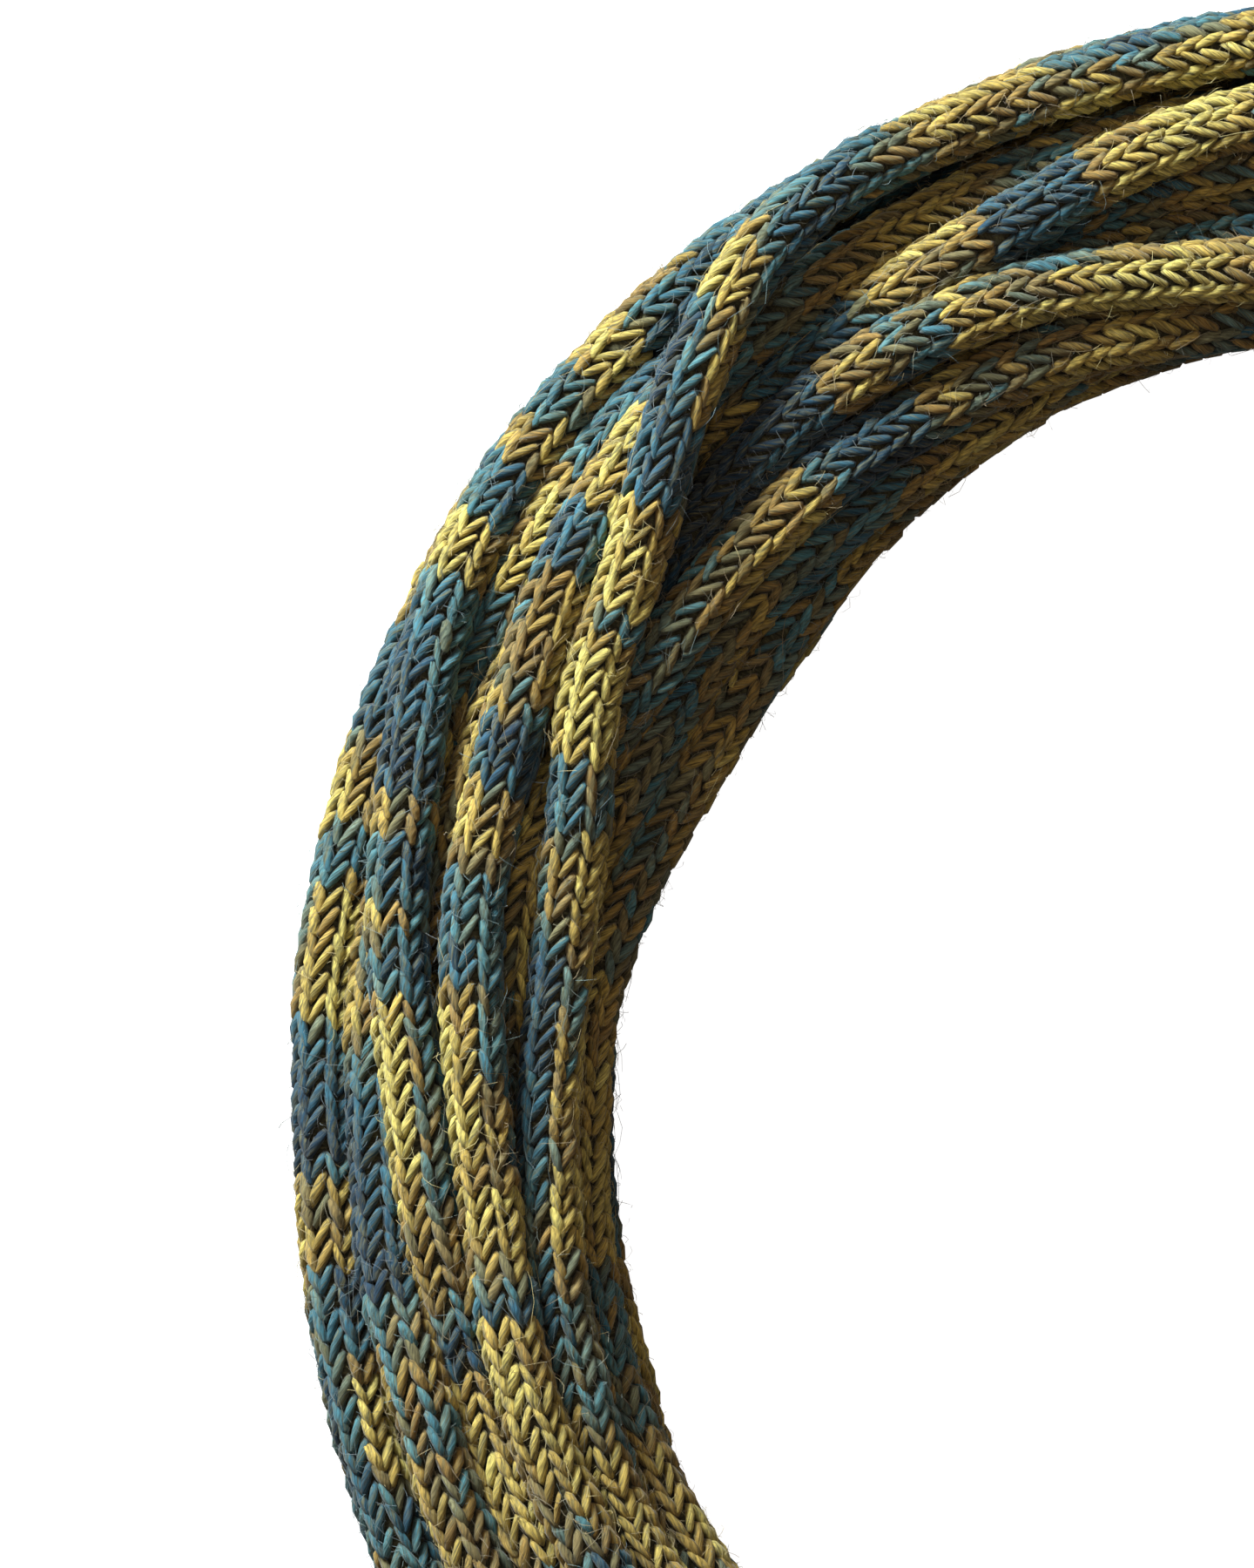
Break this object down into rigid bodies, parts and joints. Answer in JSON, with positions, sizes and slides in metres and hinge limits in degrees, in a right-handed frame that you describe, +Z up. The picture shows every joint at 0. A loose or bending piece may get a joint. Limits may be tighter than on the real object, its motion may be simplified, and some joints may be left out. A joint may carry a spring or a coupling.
{
  "type": "hank of chain yarn",
  "caption": "Ring-shaped hank of soft knitted chain yarn in mottled teal and mustard wool, wound loosely and lying flat, for knitting, weaving and craft.",
  "frame": {"origin": "on the surface the hank lies on, under the middle of the ring's outline", "axes": "+Z up, out of the ring's plane; +Y towards the top of the picture and +X to its right"},
  "size_m": [0.2616, 0.2614, 0.0361],
  "materials": {
    "knitted_wool": "matt wool knitted into a cord, mottled teal and mustard, with a fine fuzz"
  },
  "bodies": {
    "root": {"yarn_hank": "knitted_wool"}
  },
  "joints": []
}
